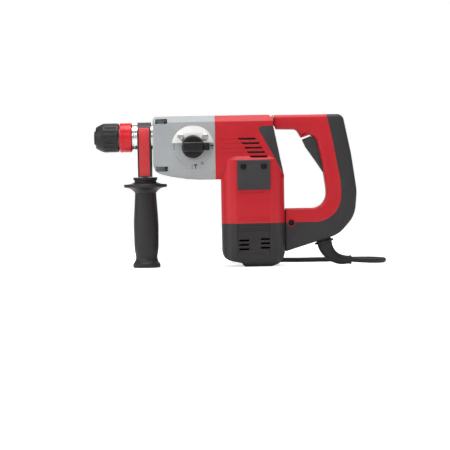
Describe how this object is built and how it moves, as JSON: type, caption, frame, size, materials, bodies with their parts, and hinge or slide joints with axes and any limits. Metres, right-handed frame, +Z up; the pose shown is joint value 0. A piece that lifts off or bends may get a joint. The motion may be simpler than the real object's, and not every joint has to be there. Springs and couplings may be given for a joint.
{
  "type": "rotary hammer",
  "caption": "Corded rotary hammer with an upright motor, quick-release chuck, mode selector, D-shaped rear handle with trigger and a turning side handle.",
  "frame": {"origin": "on the resting plane under the base cap, straight below the upright motor's axis", "axes": "+X from the chuck to the rear handle along the spindle, +Z up along the motor shaft, -Y the side with the mode selector"},
  "size_m": [0.4036, 0.2798, 0.207],
  "materials": {
    "gear_grey": "satin cast magnesium, grey paint",
    "shell_red": "satin moulded red",
    "ring_red": "semi gloss red",
    "insert_red": "satin red",
    "housing_black": "fine textured black",
    "soft_black": "soft-touch rubber",
    "trigger_grey": "satin dark grey",
    "knob_black": "satin black",
    "bright_steel": "turned bright",
    "black_screw": "blackened steel",
    "tool_steel": "ground and hardened",
    "light_alloy": "machined",
    "copper": "copper bars",
    "carbon": "pressed carbon",
    "cord_rubber": "black rubber sheath",
    "tie_fabric": "woven strap",
    "pin_nickel": "nickel plated"
  },
  "bodies": {
    "housing": {"gear_housing": "gear_grey", "bearing_neck": "bright_steel", "motor_housing": "shell_red", "housing_inserts": "soft_black", "base_cap": "housing_black", "brush_covers": "trigger_grey", "cover_screws": "black_screw", "housing_screws": "black_screw", "selector_plate": "bright_steel", "plate_screws": "bright_steel", "spindle_bearings": "tool_steel", "gear_plate": "light_alloy", "gear_plate_bearings": "tool_steel", "lower_motor_bearing": "tool_steel", "stator": "tool_steel", "brush_holders": "housing_black", "carbon_brushes": "carbon", "handle_bellows": "soft_black"},
    "spindle": {"spindle": "tool_steel", "bevel_gear": "tool_steel", "tool_holder": "tool_steel", "dust_cap": "soft_black", "locking_balls": "tool_steel", "sleeve_spring": "tool_steel"},
    "locking_sleeve": {"locking_sleeve": "housing_black"},
    "release_ring": {"release_ring": "ring_red"},
    "beat_piece": {"beat_piece": "tool_steel"},
    "striker": {"striker": "tool_steel"},
    "piston": {"piston": "light_alloy", "wrist_pin": "tool_steel"},
    "connecting_rod": {"connecting_rod": "tool_steel"},
    "crank": {"crank_gear": "tool_steel"},
    "intermediate_shaft": {"bevel_pinion_shaft": "tool_steel", "intermediate_gear": "tool_steel"},
    "armature": {"armature_shaft": "tool_steel", "armature_core": "tool_steel", "commutator": "copper", "cooling_fan": "housing_black"},
    "selector_knob": {"selector_knob": "knob_black", "selector_shaft": "tool_steel"},
    "lock_button": {"selector_lock_button": "knob_black"},
    "rear_handle": {"handle_shell_left": "shell_red", "handle_shell_right": "shell_red", "handle_back_shell": "soft_black", "handle_pivot_bolt": "black_screw", "switch_body": "housing_black", "trigger_pin": "tool_steel", "trigger_spring": "tool_steel", "cord_boot": "cord_rubber", "cord_lead": "cord_rubber", "cord_coil": "cord_rubber", "cord_tie": "tie_fabric", "cord_tail": "cord_rubber", "plug_body": "cord_rubber", "plug_pins": "pin_nickel"},
    "trigger": {"trigger": "trigger_grey"},
    "side_handle": {"side_handle_frame": "housing_black", "side_handle_inserts": "insert_red"},
    "side_grip": {"side_grip": "soft_black", "clamp_bolt": "tool_steel"}
  },
  "joints": [
    {"name": "armature_spin", "type": "hinge", "parent": "housing", "child": "armature", "pos_m": [0, 0, 0.07], "axis": [0, 0, 1], "continuous": true},
    {"name": "crank_turn", "type": "hinge", "parent": "housing", "child": "crank", "pos_m": [-0.027, 0, 0.15], "axis": [0, 0, 1], "continuous": true},
    {"name": "intermediate_turn", "type": "hinge", "parent": "housing", "child": "intermediate_shaft", "pos_m": [-0.063, 0, 0.15], "axis": [0, 0, 1], "continuous": true},
    {"name": "spindle_turn", "type": "hinge", "parent": "housing", "child": "spindle", "pos_m": [-0.16, 0, 0.1797], "axis": [1, 0, 0], "continuous": true},
    {"name": "sleeve_slide", "type": "slide", "parent": "spindle", "child": "locking_sleeve", "axis": [1, 0, 0], "range_m": [0, 0.006], "stiffness_N_per_m": 900, "springref_m": -0.004, "deforming": ["sleeve_spring"]},
    {"name": "ring_slide", "type": "slide", "parent": "spindle", "child": "release_ring", "axis": [1, 0, 0], "range_m": [0, 0.006]},
    {"name": "beat_piece_slide", "type": "slide", "parent": "spindle", "child": "beat_piece", "axis": [-1, 0, 0], "range_m": [0, 0.004]},
    {"name": "striker_slide", "type": "slide", "parent": "spindle", "child": "striker", "axis": [1, 0, 0], "range_m": [0, 0.012]},
    {"name": "piston_slide", "type": "slide", "parent": "housing", "child": "piston", "axis": [-1, 0, 0], "range_m": [0, 0.02]},
    {"name": "rod_swing", "type": "hinge", "parent": "piston", "child": "connecting_rod", "pos_m": [-0.069, 0, 0.1797], "axis": [0, 0, 1], "range_deg": [-11, 11]},
    {"name": "selector_turn", "type": "hinge", "parent": "housing", "child": "selector_knob", "pos_m": [-0.0804, -0.04, 0.1645], "axis": [0, 1, 0], "range_deg": [0, 180]},
    {"name": "lock_button_press", "type": "slide", "parent": "selector_knob", "child": "lock_button", "axis": [0, 1, 0], "range_m": [0, 0.002], "stiffness_N_per_m": 400, "springref_m": -0.002},
    {"name": "handle_rock", "type": "hinge", "parent": "housing", "child": "rear_handle", "pos_m": [0.0525, 0, 0.0586], "axis": [0, 1, 0], "range_deg": [-0.5, 0.4], "stiffness_Nm_per_rad": 900, "deforming": ["handle_bellows"]},
    {"name": "trigger_pull", "type": "hinge", "parent": "rear_handle", "child": "trigger", "pos_m": [0.101, 0, 0.129], "axis": [0, 1, 0], "range_deg": [0, 8], "stiffness_Nm_per_rad": 2, "springref_deg": -5.73, "deforming": ["trigger_spring"]},
    {"name": "side_handle_swivel", "type": "hinge", "parent": "housing", "child": "side_handle", "pos_m": [-0.1475, 0, 0.1797], "axis": [1, 0, 0], "continuous": true},
    {"name": "grip_twist", "type": "hinge", "parent": "side_handle", "child": "side_grip", "pos_m": [-0.1475, 0, 0.06], "axis": [0, 0, 1], "range_deg": [0, 360]}
  ],
  "couplings": [
    {"joint": "crank_turn", "follows": "armature_spin", "ratio": -0.2},
    {"joint": "intermediate_turn", "follows": "armature_spin", "ratio": 0.33333},
    {"joint": "spindle_turn", "follows": "armature_spin", "ratio": -0.11111},
    {"joint": "ring_slide", "follows": "sleeve_slide", "ratio": 1}
  ]
}
